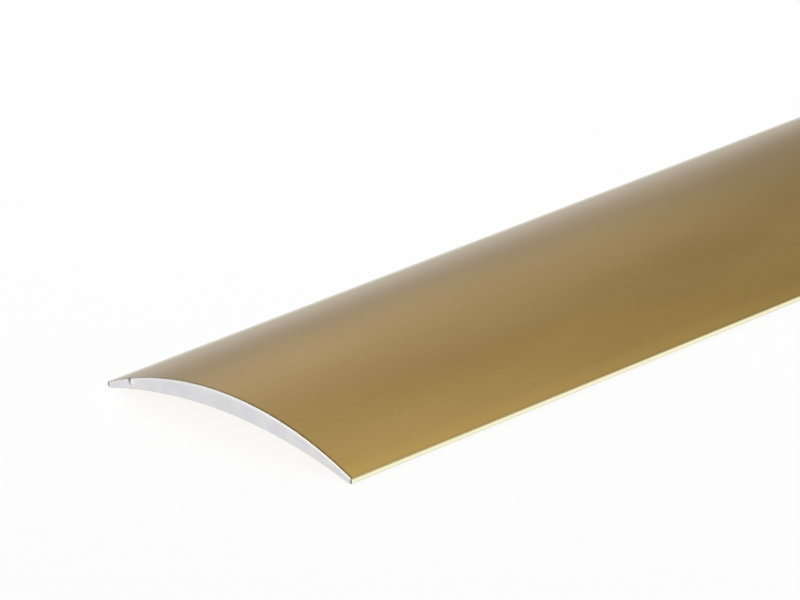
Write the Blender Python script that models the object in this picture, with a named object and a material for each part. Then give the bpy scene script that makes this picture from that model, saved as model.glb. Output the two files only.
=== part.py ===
"""A domed, self-adhesive threshold strip: an aluminium extrusion, two foam tapes and their liners.

The strip lies on the floor (z = 0) along +Y, with its middle at the origin. Metres.
"""

import math

import bmesh
import bpy

# Driving dimensions of the extrusion
WIDTH = 0.040
HEIGHT = 0.005
LENGTH = 0.900
EDGE_HEIGHT = 0.0006  # the thin long edges, before their corners are rounded
FOOT_WIDTH = 0.0006  # from a long edge to where the underside arc starts
CENTRE_THICKNESS = 0.0023  # metal between the crown and the underside arc
NOSE_TOP_RADIUS = 0.00012
NOSE_BOTTOM_RADIUS = 0.00020

# Foam tapes and liners, which follow the underside arc
TAPE_INNER_X = 0.0050
TAPE_WIDTH = 0.0090
TAPE_THICKNESS = 0.0008
TAPE_SETBACK = 0.0100  # from each sawn end
LINER_OVERHANG = 0.0005  # past each long edge of its tape
LINER_THICKNESS = 0.00015
LINER_SETBACK = 0.0065  # from each sawn end
LAYER_GAP = 0.0001  # between the metal, the tape and the liner

# Smoothness
CROWN_STEPS = 72
UNDERSIDE_STEPS = 60
NOSE_STEPS = 6
BAND_STEPS = 14
SHARP_ANGLE = math.radians(30)

# Worked out from the above
CROWN_RISE = HEIGHT - EDGE_HEIGHT
UNDERSIDE_RISE = HEIGHT - CENTRE_THICKNESS
UNDERSIDE_HALF = WIDTH / 2 - FOOT_WIDTH


def arc_radius(half_chord, rise):
    """The radius of an arc that rises by rise over a chord of twice half_chord."""
    return (half_chord**2 + rise**2) / (2 * rise)


CROWN_RADIUS = arc_radius(WIDTH / 2, CROWN_RISE)
CROWN_CENTRE_Z = HEIGHT - CROWN_RADIUS
UNDERSIDE_RADIUS = arc_radius(UNDERSIDE_HALF, UNDERSIDE_RISE)
UNDERSIDE_CENTRE_Z = UNDERSIDE_RISE - UNDERSIDE_RADIUS


def clear_scene():
    for old in list(bpy.data.objects):
        bpy.data.objects.remove(old, do_unlink=True)


def make_material(name, colour, metallic, roughness):
    """A Principled BSDF material of one colour."""
    material = bpy.data.materials.new(name)
    material.use_nodes = True
    shader = material.node_tree.nodes["Principled BSDF"]
    shader.inputs["Base Color"].default_value = (*colour, 1.0)
    shader.inputs["Metallic"].default_value = metallic
    shader.inputs["Roughness"].default_value = roughness
    return material


def arc(centre, radius, start, end, steps):
    """Points (x, z) along a circle's arc, with angles from +X towards +Z."""
    angles = [start + (end - start) * i / steps for i in range(steps + 1)]
    return [(centre[0] + radius * math.cos(a), centre[1] + radius * math.sin(a)) for a in angles]


def nose_top_arc():
    """The small round between the right-hand edge's face and the crown, bottom to top."""
    centre_x = WIDTH / 2 - NOSE_TOP_RADIUS
    reach = CROWN_RADIUS - NOSE_TOP_RADIUS  # both arcs touch where their radii line up
    centre_z = CROWN_CENTRE_Z + math.sqrt(reach**2 - centre_x**2)
    crown_angle = math.atan2(centre_z - CROWN_CENTRE_Z, centre_x)
    points = arc((centre_x, centre_z), NOSE_TOP_RADIUS, 0.0, crown_angle, NOSE_STEPS)
    return points, crown_angle


def nose_bottom_arc():
    """The small round between the foot and the right-hand edge's face, bottom to top."""
    centre = (WIDTH / 2 - NOSE_BOTTOM_RADIUS, NOSE_BOTTOM_RADIUS)
    return arc(centre, NOSE_BOTTOM_RADIUS, -math.pi / 2, 0.0, NOSE_STEPS)


def mirrored(points):
    """The points on the other side of x = 0, in the order that carries on round the outline."""
    return [(-x, z) for x, z in reversed(points)]


def profile_outline():
    """The extrusion's cross-section, anticlockwise seen from -Y."""
    nose_top, crown_angle = nose_top_arc()
    nose = nose_bottom_arc() + nose_top
    crown = arc((0, CROWN_CENTRE_Z), CROWN_RADIUS, crown_angle, math.pi - crown_angle, CROWN_STEPS)
    foot_angle = math.atan2(-UNDERSIDE_CENTRE_Z, UNDERSIDE_HALF)
    underside = arc(
        (0, UNDERSIDE_CENTRE_Z), UNDERSIDE_RADIUS, math.pi - foot_angle, foot_angle, UNDERSIDE_STEPS
    )
    return nose + crown[1:-1] + mirrored(nose) + underside


def band_outline(side, inner_x, outer_x, top_gap, thickness):
    """A band that follows the underside arc, top_gap below it; side is -1 (left) or 1 (right)."""
    top_radius = UNDERSIDE_RADIUS - top_gap
    inner_angle = math.acos(inner_x / UNDERSIDE_RADIUS)
    outer_angle = math.acos(outer_x / UNDERSIDE_RADIUS)
    centre = (0, UNDERSIDE_CENTRE_Z)
    top = arc(centre, top_radius, outer_angle, inner_angle, BAND_STEPS)
    bottom = arc(centre, top_radius - thickness, inner_angle, outer_angle, BAND_STEPS)
    outline = top + bottom
    return outline if side > 0 else mirrored(outline)


def extruded(name, outline, length, material):
    """A closed solid of that cross-section, centred along Y, with its object's origin at its near end."""
    mesh = bpy.data.meshes.new(name)
    shape = bmesh.new()
    near_end = shape.faces.new([shape.verts.new((x, 0, z)) for x, z in outline])
    grown = bmesh.ops.extrude_face_region(shape, geom=[near_end])
    moved = [v for v in grown["geom"] if isinstance(v, bmesh.types.BMVert)]
    bmesh.ops.translate(shape, verts=moved, vec=(0, length, 0))
    bmesh.ops.recalc_face_normals(shape, faces=shape.faces)
    shape.to_mesh(mesh)
    shape.free()
    mesh.shade_smooth()
    mesh.set_sharp_from_angle(angle=SHARP_ANGLE)
    mesh.materials.append(material)
    piece = bpy.data.objects.new(name, mesh)
    piece.location = (0, -length / 2, 0)
    bpy.context.collection.objects.link(piece)
    return piece


def make_profile():
    gold = make_material("gold_anodised", (0.60, 0.47, 0.24), 0.9, 0.38)
    return extruded("profile_strip", profile_outline(), LENGTH, gold)


def make_tape(name, side):
    foam = make_material(f"{name}_foam", (0.86, 0.86, 0.84), 0.0, 0.8)
    outline = band_outline(
        side, TAPE_INNER_X, TAPE_INNER_X + TAPE_WIDTH, LAYER_GAP, TAPE_THICKNESS
    )
    return extruded(name, outline, LENGTH - 2 * TAPE_SETBACK, foam)


def make_liner(name, side):
    paper = make_material(f"{name}_paper", (0.80, 0.68, 0.42), 0.0, 0.55)
    outline = band_outline(
        side,
        TAPE_INNER_X - LINER_OVERHANG,
        TAPE_INNER_X + TAPE_WIDTH + LINER_OVERHANG,
        2 * LAYER_GAP + TAPE_THICKNESS,
        LINER_THICKNESS,
    )
    return extruded(name, outline, LENGTH - 2 * LINER_SETBACK, paper)


def make_root(pieces):
    """An empty at the frame's origin that holds the whole strip."""
    root = bpy.data.objects.new("strip_root", None)
    root.empty_display_size = WIDTH
    bpy.context.collection.objects.link(root)
    for piece in pieces:
        piece.parent = root


def main():
    clear_scene()
    pieces = [make_profile()]
    for side_name, side in (("left", -1), ("right", 1)):
        pieces.append(make_tape(f"tape_{side_name}", side))
        pieces.append(make_liner(f"liner_{side_name}", side))
    make_root(pieces)


main()
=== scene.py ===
"""The looks of a domed gold-anodised threshold strip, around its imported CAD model.

Everything is in metres in the CAD's own frame: the strip lies on z = 0 along +Y, middle at the origin.
Its near end, at -Y, is the sawn end that the camera looks at.
"""

import math

import bmesh
import bpy
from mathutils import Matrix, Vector, noise


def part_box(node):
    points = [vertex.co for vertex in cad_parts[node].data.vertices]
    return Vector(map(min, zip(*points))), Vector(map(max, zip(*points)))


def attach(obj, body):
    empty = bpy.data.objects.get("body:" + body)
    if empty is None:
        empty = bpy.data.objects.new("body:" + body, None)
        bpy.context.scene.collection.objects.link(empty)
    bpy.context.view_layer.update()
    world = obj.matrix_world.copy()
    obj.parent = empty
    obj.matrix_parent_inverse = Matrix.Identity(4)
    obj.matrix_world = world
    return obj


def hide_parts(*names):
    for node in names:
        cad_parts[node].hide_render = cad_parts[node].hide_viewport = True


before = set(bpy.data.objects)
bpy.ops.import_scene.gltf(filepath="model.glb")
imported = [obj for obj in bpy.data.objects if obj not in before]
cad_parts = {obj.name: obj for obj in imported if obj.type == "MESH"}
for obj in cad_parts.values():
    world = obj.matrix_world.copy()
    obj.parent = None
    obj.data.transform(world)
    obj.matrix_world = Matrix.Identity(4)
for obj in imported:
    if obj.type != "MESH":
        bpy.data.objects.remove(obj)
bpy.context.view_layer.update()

# The extrusion's section, as in the CAD
STRIP_LOW, STRIP_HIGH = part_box("profile_strip")
WIDTH = STRIP_HIGH.x - STRIP_LOW.x
HEIGHT = STRIP_HIGH.z - STRIP_LOW.z
LENGTH = STRIP_HIGH.y - STRIP_LOW.y
NEAR_END_Y = STRIP_LOW.y
EDGE_HEIGHT = 0.0006
FOOT_WIDTH = 0.0006
CENTRE_THICKNESS = 0.0023
NOSE_TOP_RADIUS = 0.00012
NOSE_BOTTOM_RADIUS = 0.00020

# The mesh of the extrusion
CROWN_STATIONS = 160
NOSE_STATIONS = 8
NARROWEST_STATION = 2e-6  # stations closer than this are one
WALL_LEVELS = 6
LENGTH_STEPS = 40
END_RINGS = (0.0, 0.00004, 0.0005, 0.002, 0.006, 0.015, 0.030)  # distances from a sawn end
ARRIS = 0.00007  # height of the tiny bare chamfer between a sawn end and the gold face
ARRIS_BELOW = 0.7  # the chamfer's share of that height along the underside
SHARP_ANGLE = math.radians(35)

# The saw's nick in the near end, from the crown down to the underside
NICK_X = -0.0163
NICK_HALF_WIDTH = 0.00018
NICK_DEPTH = 0.00030
NICK_DEPTH_BELOW = 0.00005

# The foam tapes and their liners, which follow the underside arc as in the CAD
TAPE_INNER_X = 0.0050
TAPE_WIDTH = 0.0090
TAPE_THICKNESS = 0.0008
TAPE_CORNER = 0.00012
TAPE_DENTS = 3e-5
TAPE_STEPS = (20, 300)  # across and along
LINER_OVERHANG = 0.0005
LINER_THICKNESS = 0.00015
LINER_CORNER = 0.00003
LINER_STEPS = (16, 200)
LAYER_GAP = 0.0001
DENTS_PER_METRE = (400, 90)
SEAM = 1e-7  # points closer than this are one

# The camera: its direction from the near end, its distance and its lens
CAMERA_AZIMUTH = math.radians(44.57)
CAMERA_ELEVATION = math.radians(22.38)
CAMERA_DISTANCE = 0.7621
CAMERA_RIGHT_OF_END = 0.01968
CAMERA_ABOVE_END = 0.01536
CAMERA_LENS = 300.6
CAMERA_SENSOR = 36.0
CAMERA_CLIP = (0.01, 1000.0)

# The studio
FLOOR_SIZE = 400.0
FLOOR_ALBEDO = 0.2
FLOOR_ROUGHNESS = 0.9
FLOOR_GLOW = 0.84
BACKDROP_RADIUS = 25.0  # within the reach of every view of the object
BACKDROP_HEIGHT = 8.0
BACKDROP_SIDES = 96
BACKDROP_ALBEDO = 0.0
BACKDROP_ROUGHNESS = 1.0
BACKDROP_GLOW = 0.97
WORLD_STRENGTH = 0.35
SUNS = (  # name, azimuth and elevation, how many degrees it spans, strength
    ("front_low", -102, 15, 30, 1.75),
    ("front_right", -45, 25, 60, 0.36),
)
PANELS = (  # name, the y it faces, azimuth and elevation, distance, size, power
    ("back_left", NEAR_END_Y, 150, 30, 0.4, (0.22, 0.22), 0.043),
    ("back_middle", NEAR_END_Y, 138, 32, 0.4, (0.22, 0.22), 0.0445),
    ("back_low", NEAR_END_Y, 138, 10, 0.4, (0.16, 0.16), 0.014),
    ("back_high", NEAR_END_Y, 95, 60, 0.4, (0.22, 0.22), 0.100),
    ("back_end", STRIP_HIGH.y, 90, 6, 0.6, (0.6, 0.3), 0.20),
    ("far_side", 0.72, 180, 30, 0.5, (0.95, 0.35), 0.40),
)


def arc_radius(half_chord, rise):
    """The radius of an arc that rises by rise over a chord of twice half_chord."""
    return (half_chord**2 + rise**2) / (2 * rise)


CROWN_RADIUS = arc_radius(WIDTH / 2, HEIGHT - EDGE_HEIGHT)
CROWN_CENTRE_Z = HEIGHT - CROWN_RADIUS
UNDERSIDE_HALF = WIDTH / 2 - FOOT_WIDTH
UNDERSIDE_RISE = HEIGHT - CENTRE_THICKNESS
UNDERSIDE_RADIUS = arc_radius(UNDERSIDE_HALF, UNDERSIDE_RISE)
UNDERSIDE_CENTRE_Z = UNDERSIDE_RISE - UNDERSIDE_RADIUS
NOSE_TOP_X = WIDTH / 2 - NOSE_TOP_RADIUS
NOSE_TOP_Z = CROWN_CENTRE_Z + math.sqrt((CROWN_RADIUS - NOSE_TOP_RADIUS) ** 2 - NOSE_TOP_X**2)
CROWN_END_X = NOSE_TOP_X * CROWN_RADIUS / (CROWN_RADIUS - NOSE_TOP_RADIUS)
NOSE_BOTTOM_X = WIDTH / 2 - NOSE_BOTTOM_RADIUS


def top_z(x):
    """Height of the gold face at x."""
    x = min(abs(x), WIDTH / 2)
    if x <= CROWN_END_X:
        return CROWN_CENTRE_Z + math.sqrt(CROWN_RADIUS**2 - x**2)
    return NOSE_TOP_Z + math.sqrt(max(NOSE_TOP_RADIUS**2 - (x - NOSE_TOP_X) ** 2, 0.0))


def bottom_z(x):
    """Height of the underside at x."""
    x = min(abs(x), WIDTH / 2)
    if x < UNDERSIDE_HALF:
        return UNDERSIDE_CENTRE_Z + math.sqrt(UNDERSIDE_RADIUS**2 - x**2)
    if x <= NOSE_BOTTOM_X:
        return 0.0
    return NOSE_BOTTOM_RADIUS - math.sqrt(max(NOSE_BOTTOM_RADIUS**2 - (x - NOSE_BOTTOM_X) ** 2, 0.0))


# ---------------------------------------------------------------- materials


class Surface:
    """A Principled BSDF material, with short calls for the patterns that drive it."""

    def __init__(self, name, colour, metallic, roughness, **more):
        self.material = bpy.data.materials.new(name)
        self.material.use_nodes = True
        self.tree = self.material.node_tree
        self.inputs = self.tree.nodes["Principled BSDF"].inputs
        self.inputs["Base Color"].default_value = (*colour, 1.0)
        self.inputs["Metallic"].default_value = metallic
        self.inputs["Roughness"].default_value = roughness
        for key, value in more.items():
            self.inputs[key.replace("_", " ")].default_value = value
        self.place = self.node("ShaderNodeTexCoord").outputs["Object"]
        split = self.node("ShaderNodeSeparateXYZ", Vector=self.place)
        self.x, self.y, self.z = (split.outputs[axis] for axis in "XYZ")

    def node(self, kind, properties=(), **inputs):
        """A new node with its properties set and its inputs given as values or sockets."""
        made = self.tree.nodes.new(kind)
        for key, value in dict(properties).items():
            setattr(made, key, value)
        for key, value in inputs.items():
            self.feed(made.inputs[key.replace("_", " ")], value)
        return made

    def feed(self, socket, value):
        if isinstance(value, bpy.types.NodeSocket):
            self.tree.links.new(value, socket)
        else:
            socket.default_value = value

    def math(self, operation, a, b=0.0):
        made = self.node("ShaderNodeMath", {"operation": operation})
        self.feed(made.inputs[0], a)
        self.feed(made.inputs[1], b)
        return made.outputs["Value"]

    def times(self, a, b):
        return self.math("MULTIPLY", a, b)

    def minus(self, a, b):
        return self.math("SUBTRACT", a, b)

    def maximum(self, a, b):
        return self.math("MAXIMUM", a, b)

    def absolute(self, a):
        return self.math("ABSOLUTE", a)

    def weighted_sum(self, start, *pairs):
        """start plus each pattern times its weight."""
        total = start
        for pattern, weight in pairs:
            total = self.math("ADD", total, self.times(pattern, weight))
        return total

    def ramp(self, value, start, end, low=0.0, high=1.0):
        """low where value is at start, high where it is at end, held beyond both."""
        made = self.node("ShaderNodeMapRange", Value=value)
        for key, number in (("From Min", start), ("From Max", end), ("To Min", low), ("To Max", high)):
            made.inputs[key].default_value = number
        return made.outputs["Result"]

    def stretched(self, per_metre):
        """The place on the piece, with each axis in pattern units."""
        return self.node("ShaderNodeMapping", Vector=self.place, Scale=per_metre).outputs["Vector"]

    def noise(self, per_metre, detail=2.0, roughness=0.5, distortion=0.0):
        """Noise from 0 to 1 with that many features in a metre along X, Y and Z."""
        made = self.node(
            "ShaderNodeTexNoise", Vector=self.stretched(per_metre), Scale=1.0, Detail=detail,
            Roughness=roughness, Distortion=distortion,
        )
        return made.outputs["Fac"]

    def cells(self, per_metre):
        """Distance from the nearest of many scattered points, in cells."""
        made = self.node("ShaderNodeTexVoronoi", Vector=self.stretched(per_metre), Scale=1.0)
        return made.outputs["Distance"]

    def near(self, point, radius):
        """1 at a point, falling to 0 at radius from it."""
        made = self.node("ShaderNodeVectorMath", {"operation": "DISTANCE"})
        self.feed(made.inputs[0], self.place)
        self.feed(made.inputs[1], point)
        return self.ramp(made.outputs["Value"], 0.0, radius, 1.0, 0.0)

    def mix(self, factor, a, b):
        """Colour a where factor is 0, b where it is 1."""
        made = self.node("ShaderNodeMix", {"data_type": "RGBA"})
        self.feed(made.inputs[0], factor)
        self.feed(made.inputs[6], a if isinstance(a, bpy.types.NodeSocket) else (*a, 1.0))
        self.feed(made.inputs[7], b if isinstance(b, bpy.types.NodeSocket) else (*b, 1.0))
        return made.outputs[2]

    def colour(self, socket):
        self.feed(self.inputs["Base Color"], socket)

    def roughness(self, socket):
        self.feed(self.inputs["Roughness"], socket)

    def bump(self, *heights):
        """Raise the surface by each (pattern, metres) pair."""
        normal = None
        for pattern, distance in heights:
            made = self.node("ShaderNodeBump", Height=pattern, Distance=distance)
            if normal:
                self.feed(made.inputs["Normal"], normal)
            normal = made.outputs["Normal"]
        self.feed(self.inputs["Normal"], normal)


GOLD = (0.55, 0.34, 0.070)
GOLD_LIGHT = (0.60, 0.38, 0.083)
GOLD_DEEP = (0.50, 0.30, 0.057)
GOLD_PAINTED_SHADE = (0.17, 0.135, 0.035)
GOLD_WORN_HIGHLIGHT = (1.0, 0.95, 0.62)
GOLD_EDGE_HIGHLIGHT = (0.68, 0.45, 0.088)
GOLD_PIT = (0.80, 0.62, 0.30)
FOOT_SHADOW = (0.30, 0.28, 0.22)
EDGE_HIGHLIGHT_BAND = (0.0178, 0.0194)  # a painted highlight brightens the gold between these distances from the middle
EDGE_WEAR_HIGHLIGHT = (0.01989, 0.01996)  # the edges are rubbed and painted pale as a highlight between these
LEFT_WEAR_HIGHLIGHT = (0.0176, 0.0192)  # the left edge's wear and painted highlight reach further in
SHADE_LINE_X = 0.01977  # a painted shade line beside each long edge
SHADE_LINE_HALF = 0.00010
END_SHADE_BAND = 0.00030  # a painted shade band along each sawn end
FOOT_SHADOW_HEIGHT = 0.00012  # how far up from the floor the edges carry a painted contact shadow
PIT_SIZE = 0.00022
# Each bright speck's x, distance from the near end, and strength
PITS = ((0.00820, 0.00810, 0.9), (0.01380, 0.01350, 0.6), (0.01730, 0.00410, 0.3))


def gold_material():
    """Satin etched aluminium, dyed gold and sealed: metal under a clear oxide coat, with painted highlights
    and painted shade mixed into its colour.
    """
    gold = Surface(
        "gold_anodised", GOLD, 1.0, 0.36, Specular_Tint=(0.52, 0.50, 0.45, 1.0),
        Coat_Weight=1.0, Coat_IOR=1.5, Coat_Roughness=0.30,
    )
    cloud = gold.noise((90, 28, 90), detail=3.0)
    die_lines = gold.noise((2600, 2.5, 0), detail=2.0)
    grain = gold.noise((5200, 5200, 5200), detail=3.0, roughness=0.65)
    ripple = gold.noise((700, 260, 700), detail=1.0)
    tone = gold.weighted_sum(0.0, (cloud, 0.45), (die_lines, 0.15), (grain, 0.40))
    colour = gold.mix(gold.ramp(tone, 0.36, 0.64), GOLD_DEEP, GOLD_LIGHT)

    out = gold.absolute(gold.x)
    # Painted highlight: the gold is brightened towards each long edge.
    colour = gold.mix(gold.ramp(out, *EDGE_HIGHLIGHT_BAND, 0.0, 0.5), colour, GOLD_EDGE_HIGHLIGHT)
    # Painted shade: a dark line beside each long edge and a dark band along each sawn end.
    line = gold.ramp(gold.absolute(gold.minus(out, SHADE_LINE_X)), 0.0, SHADE_LINE_HALF, 0.30, 0.0)
    from_end = gold.minus(LENGTH / 2, gold.absolute(gold.y))
    ragged = gold.minus(from_end, gold.times(gold.noise((1500, 1500, 0), detail=2.0), END_SHADE_BAND))
    end_shade = gold.ramp(ragged, 0.3 * END_SHADE_BAND, END_SHADE_BAND, 0.9, 0.0)
    colour = gold.mix(gold.maximum(end_shade, line), colour, GOLD_PAINTED_SHADE)

    # Wear on the long edges, painted pale yellow as the highlight they catch from the bright floor.
    rub = gold.ramp(gold.noise((300, 25, 300), detail=3.0), 0.30, 0.48, 0.88, 1.0)
    left = gold.ramp(gold.times(gold.x, -1.0), *LEFT_WEAR_HIGHLIGHT, 0.0, 0.9)
    wear_and_highlight = gold.times(gold.maximum(gold.ramp(out, *EDGE_WEAR_HIGHLIGHT), left), rub)
    colour = gold.mix(wear_and_highlight, colour, GOLD_WORN_HIGHLIGHT)
    # Painted contact shadow: the foot of each long edge is darkened.
    colour = gold.mix(gold.ramp(gold.z, 0.4 * FOOT_SHADOW_HEIGHT, FOOT_SHADOW_HEIGHT, 0.6, 0.0), colour, FOOT_SHADOW)
    for x, from_near_end, strength in PITS:
        speck = gold.near((x, NEAR_END_Y + from_near_end, top_z(x)), PIT_SIZE)
        colour = gold.mix(gold.times(speck, strength), colour, GOLD_PIT)
    gold.colour(colour)
    gold.roughness(gold.weighted_sum(0.30, (grain, 0.08), (cloud, 0.04), (wear_and_highlight, -0.08)))
    gold.bump((grain, 1.2e-6), (die_lines, 0.7e-6), (ripple, 2.5e-6))
    return gold.material


BARE = (0.62, 0.62, 0.635)
BARE_COOL = (0.600, 0.600, 0.625)
BARE_WARM = (0.645, 0.645, 0.645)
BARE_HIGHLIGHT = (0.70, 0.68, 0.63)
BARE_SHADE = (0.12, 0.115, 0.11)
END_HIGHLIGHT_DEPTH = 0.00045  # how far down from the gold a sawn end carries a painted highlight
NICK_SHADE_FOOT = 0.0005  # the painted shade in the nick is faintest at its lowest part
SHADED_TIP_SIZE = 0.00030  # the painted shade at each side of a sawn end
ARRIS_COLOUR = (0.50, 0.48, 0.44)
ARRIS_SHADE = (0.42, 0.40, 0.37)

# The painted shadow spot in the nick, and the painted highlight beside it
SHADOW_SPOT_Z = top_z(NICK_X) - 0.00026
SHADOW_SPOT_SIZE = 0.00034
NICK_HIGHLIGHT_BESIDE = 0.00055
NICK_HIGHLIGHT_SIZE = 0.00045
NICK_HIGHLIGHT = (0.86, 0.84, 0.79)


def tip_shade(metal, start, strength):
    """Painted shade at the tips of a sawn end, from start outwards."""
    return metal.ramp(metal.absolute(metal.x), start, WIDTH / 2 - ARRIS, 0.0, strength)


def nick_shade(metal, full, none, strength):
    """Painted shade along the nick; full and none are distances from its middle, in half widths."""
    from_nick = metal.absolute(metal.minus(metal.x, NICK_X))
    return metal.ramp(from_nick, full * NICK_HALF_WIDTH, none * NICK_HALF_WIDTH, strength, 0.0)


def bare_material():
    """The sawn ends: silver metal with the blade's marks, painted shade in the nick and at the tips, and
    painted highlights along the top and beside the nick.
    """
    bare = Surface("bare_aluminium", BARE, 1.0, 0.5)
    marks = bare.noise((5200, 0, 700), detail=3.0, roughness=0.6, distortion=0.3)
    clouds = bare.noise((420, 420, 420), detail=2.0)
    speckle = bare.noise((9000, 9000, 9000), detail=2.0)
    colour = bare.mix(bare.ramp(clouds, 0.35, 0.65), BARE_COOL, BARE_WARM)
    colour = bare.mix(bare.ramp(marks, 0.62, 0.85, 0.0, 0.35), colour, BARE_COOL)

    # Painted highlight: each sawn end is brightened just below the gold.
    crown = bare.math("SQRT", bare.minus(CROWN_RADIUS**2, bare.times(bare.x, bare.x)))
    below_top = bare.minus(bare.math("ADD", crown, CROWN_CENTRE_Z), bare.z)
    colour = bare.mix(bare.ramp(below_top, ARRIS, END_HIGHLIGHT_DEPTH, 0.8, 0.0), colour, BARE_HIGHLIGHT)
    # Painted highlight on the sawn end beside the nick.
    nick_highlight = bare.near((NICK_X + NICK_HIGHLIGHT_BESIDE, NEAR_END_Y, SHADOW_SPOT_Z), NICK_HIGHLIGHT_SIZE)
    colour = bare.mix(bare.times(nick_highlight, 0.8), colour, NICK_HIGHLIGHT)

    # Painted shade down the nick, strongest near the top, with a painted shadow spot inside it.
    up = bare.ramp(bare.z, bottom_z(NICK_X) + NICK_SHADE_FOOT, top_z(NICK_X), 0.05, 0.6)
    at_near_end = bare.ramp(bare.y, NEAR_END_Y + 2 * NICK_DEPTH, NEAR_END_Y + 3 * NICK_DEPTH, 1.0, 0.0)
    nick = bare.times(bare.times(nick_shade(bare, 0.3, 1.2, 1.0), up), at_near_end)
    shadow_spot = bare.near((NICK_X, NEAR_END_Y + NICK_DEPTH / 2, SHADOW_SPOT_Z), SHADOW_SPOT_SIZE)
    # Painted shade at both tips of the sawn end.
    shaded_tips = tip_shade(bare, WIDTH / 2 - ARRIS - SHADED_TIP_SIZE, 0.9)
    # The painted shade of the tips, the nick and its spot, mixed in as one dark colour.
    painted_shade = bare.maximum(bare.maximum(shaded_tips, nick), bare.times(shadow_spot, 0.95))
    bare.colour(bare.mix(painted_shade, colour, BARE_SHADE))
    bare.roughness(bare.weighted_sum(bare.ramp(marks, 0.2, 0.8, 0.44, 0.56), (speckle, 0.04)))
    bare.bump((marks, 4e-6), (speckle, 1.5e-6))
    return bare.material


def arris_material():
    """The burnished corner between a sawn end and the gold face."""
    arris = Surface("bare_arris", ARRIS_COLOUR, 1.0, 0.42)
    chatter = arris.noise((3200, 3200, 3200), detail=2.0)
    colour = arris.mix(arris.ramp(chatter, 0.3, 0.5), ARRIS_SHADE, ARRIS_COLOUR)
    at_near_end = arris.ramp(arris.y, 0.0, 0.1, 1.0, 0.0)
    nick = arris.times(nick_shade(arris, 0.5, 1.5, 0.9), at_near_end)
    # Painted shade at the tips and along the nick.
    painted_shade = arris.maximum(tip_shade(arris, WIDTH / 2 - SHADED_TIP_SIZE, 0.85), nick)
    arris.colour(arris.mix(painted_shade, colour, BARE_SHADE))
    arris.roughness(arris.ramp(chatter, 0.2, 0.8, 0.36, 0.48))
    arris.bump((chatter, 3e-6))
    return arris.material


FOAM = (0.86, 0.86, 0.83)
FOAM_LIGHT = (0.90, 0.90, 0.88)
FOAM_DARK = (0.74, 0.74, 0.71)
FOAM_STAIN = (0.78, 0.77, 0.71)


def foam_material():
    """White closed-cell polyethylene foam, with a faint adhesive shine."""
    foam = Surface("foam", FOAM, 0.0, 0.72, Subsurface_Weight=0.15, Subsurface_Scale=0.0008)
    cells = foam.cells((4200, 4200, 4200))
    large = foam.noise((350, 120, 350), detail=3.0)
    colour = foam.mix(foam.ramp(cells, 0.15, 0.75), FOAM_LIGHT, FOAM_DARK)
    foam.colour(foam.mix(foam.ramp(large, 0.4, 0.7, 0.0, 0.3), colour, FOAM_STAIN))
    foam.roughness(foam.ramp(cells, 0.1, 0.7, 0.55, 0.82))
    foam.bump((cells, -5e-5), (large, 3e-5))
    return foam.material


PAPER_LIGHT = (0.74, 0.56, 0.27)
PAPER_DARK = (0.58, 0.40, 0.16)


def liner_material():
    """Honey-coloured glassine: translucent calendered paper with a silicone gloss."""
    paper = Surface(
        "glassine", PAPER_LIGHT, 0.0, 0.42, Coat_Weight=0.35, Coat_IOR=1.43, Coat_Roughness=0.22,
        Subsurface_Weight=0.2, Subsurface_Scale=0.0006,
    )
    clouds = paper.noise((260, 190, 260), detail=4.0, roughness=0.6)
    fibres = paper.noise((5200, 1100, 5200), detail=3.0, roughness=0.6, distortion=0.8)
    rollers = paper.noise((0, 1400, 0), detail=1.0)
    tone = paper.weighted_sum(0.0, (clouds, 0.45), (fibres, 0.4), (rollers, 0.15))
    paper.colour(paper.mix(paper.ramp(tone, 0.36, 0.64), PAPER_DARK, PAPER_LIGHT))
    paper.roughness(paper.ramp(fibres, 0.25, 0.75, 0.36, 0.50))
    paper.bump((fibres, 6e-6), (rollers, 4e-6), (clouds, 1.5e-5))
    return paper.material


def glowing_material(name, albedo, roughness, strength):
    """A matt grey that gives off white light of its own."""
    grey = (albedo, albedo, albedo)
    glow = Surface(name, grey, 0.0, roughness, Emission_Color=(1, 1, 1, 1), Emission_Strength=strength)
    return glow.material


# ---------------------------------------------------------------- the extrusion


def stations():
    """x places across the strip, closer together round its noses and at the saw's nick."""
    turn = math.pi / CROWN_STATIONS
    right = [WIDTH / 2 * math.sin(turn * i) for i in range(CROWN_STATIONS // 2 + 1)]
    right += [CROWN_END_X, UNDERSIDE_HALF]
    for i in range(NOSE_STATIONS + 1):
        sine = math.sin(math.pi / 2 * i / NOSE_STATIONS)
        right += [NOSE_TOP_X + NOSE_TOP_RADIUS * sine, NOSE_BOTTOM_X + NOSE_BOTTOM_RADIUS * sine]
    nick = [NICK_X + NICK_HALF_WIDTH * share for share in (-1.0, -0.5, 0.0, 0.5, 1.0)]
    kept = []
    for x in sorted([-x for x in right] + nick + right):
        if not kept or x - kept[-1] > NARROWEST_STATION:
            kept.append(x)
    kept[0], kept[-1] = -WIDTH / 2, WIDTH / 2
    return kept


def nick_depth(x, height_share):
    """How far the saw's nick goes into the near end; height_share is 0 at the underside, 1 on top."""
    across = max(0.0, 1.0 - abs(x - NICK_X) / NICK_HALF_WIDTH)
    return across * (NICK_DEPTH_BELOW + (NICK_DEPTH - NICK_DEPTH_BELOW) * height_share)


def wall_point(x, height_share, inset):
    """A point of the section's grid; inset draws the outline in for the end's chamfer."""
    low, high = bottom_z(x), top_z(x)
    x *= 1 - inset / (WIDTH / 2)
    low, high = low + ARRIS_BELOW * inset, high - inset
    if high < low:
        low = high = (low + high) / 2
    return x, low + (high - low) * height_share


def ring_places():
    """The y and the inset of each ring of points along the strip."""
    near = [(-LENGTH / 2 + d, ARRIS if d == 0 else 0.0) for d in END_RINGS]
    inner = LENGTH / 2 - END_RINGS[-1]
    middle = [(-inner + 2 * inner * i / LENGTH_STEPS, 0.0) for i in range(1, LENGTH_STEPS)]
    return near + middle + [(-y, inset) for y, inset in reversed(near)]


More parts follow.
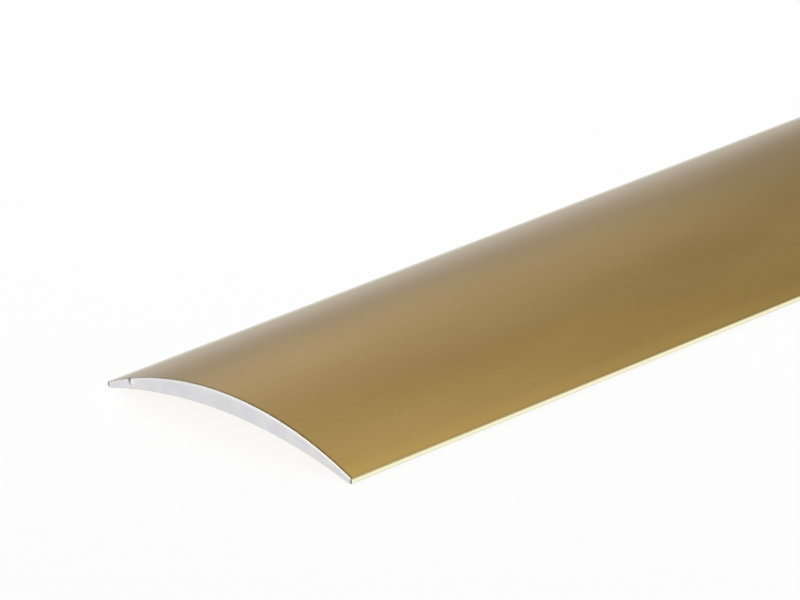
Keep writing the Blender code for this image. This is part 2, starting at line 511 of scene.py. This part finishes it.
def make_strip():
    """The extrusion: rings of points from end to end, closed by a grid of faces on both sawn ends."""
    xs = stations()
    last, k = len(xs) - 1, WALL_LEVELS
    outline = [(i, 0) for i in range(last + 1)] + [(last, j) for j in range(1, k)]
    outline += [(i, k) for i in reversed(range(last + 1))] + [(0, j) for j in reversed(range(1, k))]
    shape = bmesh.new()

    def add_point(i, j, y, inset):
        x, z = wall_point(xs[i], j / k, inset)
        depth = nick_depth(xs[i], j / k)
        if depth > 0 and y < -LENGTH / 2 + 2 * ARRIS:
            y = max(y, -LENGTH / 2 + depth + (0 if inset else ARRIS / 2))
        return shape.verts.new((x, y, z))

    places = ring_places()
    rings = [{(i, j): add_point(i, j, y, inset) for i, j in outline} for y, inset in places]
    for step, (a, b) in enumerate(zip(rings, rings[1:])):
        at_end = step in (0, len(rings) - 2)
        for p, q in zip(outline, outline[1:] + outline[:1]):
            shape.faces.new((a[p], a[q], b[q], b[p])).material_index = 2 if at_end else 0
    for ring, (y, inset) in ((rings[0], places[0]), (rings[-1], places[-1])):
        inner = {(i, j): add_point(i, j, y, inset) for i in range(1, last) for j in range(1, k)}
        grid = {**ring, **inner}
        for i in range(last):
            for j in range(k):
                corners = [grid[i, j], grid[i + 1, j], grid[i + 1, j + 1], grid[i, j + 1]]
                shape.faces.new(corners).material_index = 1
    bmesh.ops.recalc_face_normals(shape, faces=shape.faces)
    strip = finished("strip_metal", shape, [gold_material(), bare_material(), arris_material()])
    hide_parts("profile_strip")
    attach(strip, "strip")


def finished(name, shape, materials):
    """An object from a bmesh, shaded smooth up to SHARP_ANGLE."""
    mesh = bpy.data.meshes.new(name)
    shape.to_mesh(mesh)
    shape.free()
    mesh.shade_smooth()
    mesh.set_sharp_from_angle(angle=SHARP_ANGLE)
    for material in materials:
        mesh.materials.append(material)
    made = bpy.data.objects.new(name, mesh)
    bpy.context.scene.collection.objects.link(made)
    return made


# ---------------------------------------------------------------- tapes and liners


def dimple(x, y):
    """A soft pattern from 0 to 1 over a band's lower face."""
    across, along = DENTS_PER_METRE
    return 0.5 + 0.5 * noise.noise(Vector((x * across, y * along, 0.0)))


def make_band(name, side, x_range, y_range, top_gap, thickness, steps, corner, dents, material):
    """A strip of sheet that follows the underside arc, with rounded long edges.

    Its lower face has soft dents up to that many metres deep.
    """
    across, along = steps
    shape = bmesh.new()
    inner, outer = x_range
    rings = []
    for row in range(along + 1):
        y = y_range[0] + (y_range[1] - y_range[0]) * row / along
        ring = []
        for face in (0, 1):
            for column in range(across + 1):
                share = column / across if face == 0 else 1 - column / across
                share = 0.5 - 0.5 * math.cos(math.pi * share)
                x = inner + (outer - inner) * share
                from_side = min(x - inner, outer - x)
                pinch = corner - math.sqrt(max(corner**2 - max(corner - from_side, 0.0) ** 2, 0.0))
                depth = top_gap + (pinch if face == 0 else thickness - pinch - dents * dimple(x, y))
                angle = math.asin(x / UNDERSIDE_RADIUS)
                radius = UNDERSIDE_RADIUS - depth
                z = UNDERSIDE_CENTRE_Z + radius * math.cos(angle)
                ring.append(shape.verts.new((side * radius * math.sin(angle), y, z)))
        rings.append(ring)
    count = len(rings[0])
    for a, b in zip(rings, rings[1:]):
        for i in range(count):
            j = (i + 1) % count
            shape.faces.new((a[i], a[j], b[j], b[i]))
    for ring in (rings[0], rings[-1]):
        for i in range(across):
            shape.faces.new((ring[i], ring[i + 1], ring[count - 2 - i], ring[count - 1 - i]))
    bmesh.ops.remove_doubles(shape, verts=shape.verts, dist=SEAM)
    bmesh.ops.recalc_face_normals(shape, faces=shape.faces)
    return finished(name, shape, [material])


def make_tape(side_name, side, material):
    low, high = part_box(f"tape_{side_name}")
    tape = make_band(
        f"foam_tape_{side_name}", side, (TAPE_INNER_X, TAPE_INNER_X + TAPE_WIDTH), (low.y, high.y),
        LAYER_GAP, TAPE_THICKNESS, TAPE_STEPS, TAPE_CORNER, TAPE_DENTS, material,
    )
    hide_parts(f"tape_{side_name}")
    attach(tape, "strip")


def make_liner(side_name, side, material):
    low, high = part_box(f"liner_{side_name}")
    reach = (TAPE_INNER_X - LINER_OVERHANG, TAPE_INNER_X + TAPE_WIDTH + LINER_OVERHANG)
    liner = make_band(
        f"paper_liner_{side_name}", side, reach, (low.y, high.y), 2 * LAYER_GAP + TAPE_THICKNESS,
        LINER_THICKNESS, LINER_STEPS, LINER_CORNER, 0.0, material,
    )
    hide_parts(f"liner_{side_name}")
    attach(liner, f"liner_{side_name}")


# ---------------------------------------------------------------- studio


def make_floor():
    """A plain white light table: it glows, so the thin strip throws hardly any shadow."""
    shape = bmesh.new()
    half = FLOOR_SIZE / 2
    corners = ((-half, -half), (half, -half), (half, half), (-half, half))
    shape.faces.new([shape.verts.new((x, y, 0.0)) for x, y in corners])
    white = glowing_material("pale_floor", FLOOR_ALBEDO, FLOOR_ROUGHNESS, FLOOR_GLOW)
    floor = finished("floor", shape, [white])


def make_backdrop():
    """A far white wall all round. Only the camera sees it, so it adds no light or reflection."""
    shape = bmesh.new()
    bmesh.ops.create_circle(shape, segments=BACKDROP_SIDES, radius=BACKDROP_RADIUS)
    raised = bmesh.ops.extrude_edge_only(shape, edges=shape.edges[:])
    for part in raised["geom"]:
        if isinstance(part, bmesh.types.BMVert):
            part.co.z = BACKDROP_HEIGHT
    white = glowing_material("pale_backdrop", BACKDROP_ALBEDO, BACKDROP_ROUGHNESS, BACKDROP_GLOW)
    wall = finished("backdrop", shape, [white])
    wall.visible_diffuse = wall.visible_glossy = wall.visible_transmission = wall.visible_shadow = False


def direction(azimuth, elevation):
    """Unit vector towards a place in the studio; azimuth from +X towards +Y, in degrees."""
    a, e = math.radians(azimuth), math.radians(elevation)
    return Vector((math.cos(a) * math.cos(e), math.sin(a) * math.cos(e), math.sin(e)))


def make_light(name, kind, way, strength):
    data = bpy.data.lights.new(name, kind)
    data.energy = strength
    light = bpy.data.objects.new(name, data)
    light.rotation_mode = "QUATERNION"
    light.rotation_quaternion = way.to_track_quat("Z", "Y")
    light.visible_camera = False
    bpy.context.scene.collection.objects.link(light)
    return light


def make_sun(name, azimuth, elevation, angle, strength):
    """A soft even light over the whole studio."""
    sun = make_light(name, "SUN", direction(azimuth, elevation), strength)
    sun.data.angle = math.radians(angle)


def make_panel(name, target_y, azimuth, elevation, distance, size, power):
    """A softbox that faces a point on the strip's middle line."""
    way = direction(azimuth, elevation)
    panel = make_light(name, "AREA", way, power)
    panel.data.shape = "RECTANGLE"
    panel.data.size, panel.data.size_y = size
    panel.location = Vector((0, target_y, 0)) + way * distance


def make_world():
    world = bpy.data.worlds.new("studio")
    world.use_nodes = True
    world.node_tree.nodes["Background"].inputs["Color"].default_value = (1, 1, 1, 1)
    world.node_tree.nodes["Background"].inputs["Strength"].default_value = WORLD_STRENGTH
    bpy.context.scene.world = world


def make_camera():
    a, e = CAMERA_AZIMUTH, CAMERA_ELEVATION
    back = Vector((math.sin(a) * math.cos(e), -math.cos(a) * math.cos(e), math.sin(e)))
    right = Vector((math.cos(a), math.sin(a), 0))
    up = back.cross(right)
    data = bpy.data.cameras.new("camera")
    data.lens = CAMERA_LENS
    data.sensor_width = CAMERA_SENSOR
    data.clip_start, data.clip_end = CAMERA_CLIP
    camera = bpy.data.objects.new("camera", data)
    near_end = Vector((0, NEAR_END_Y, 0))
    camera.location = near_end + back * CAMERA_DISTANCE + right * CAMERA_RIGHT_OF_END + up * CAMERA_ABOVE_END
    camera.rotation_mode = "QUATERNION"
    camera.rotation_quaternion = back.to_track_quat("Z", "Y")
    bpy.context.scene.collection.objects.link(camera)
    bpy.context.scene.camera = camera


def make_studio():
    """The stage, softboxes that the gold face mirrors, and soft light all round."""
    make_floor()
    make_backdrop()
    make_world()
    for sun in SUNS:
        make_sun(*sun)
    for panel in PANELS:
        make_panel(*panel)


def main():
    bpy.context.scene.view_settings.view_transform = "Standard"
    make_camera()
    make_strip()
    foam, paper = foam_material(), liner_material()
    for side_name, side in (("left", -1), ("right", 1)):
        make_tape(side_name, side, foam)
        make_liner(side_name, side, paper)
    make_studio()


main()
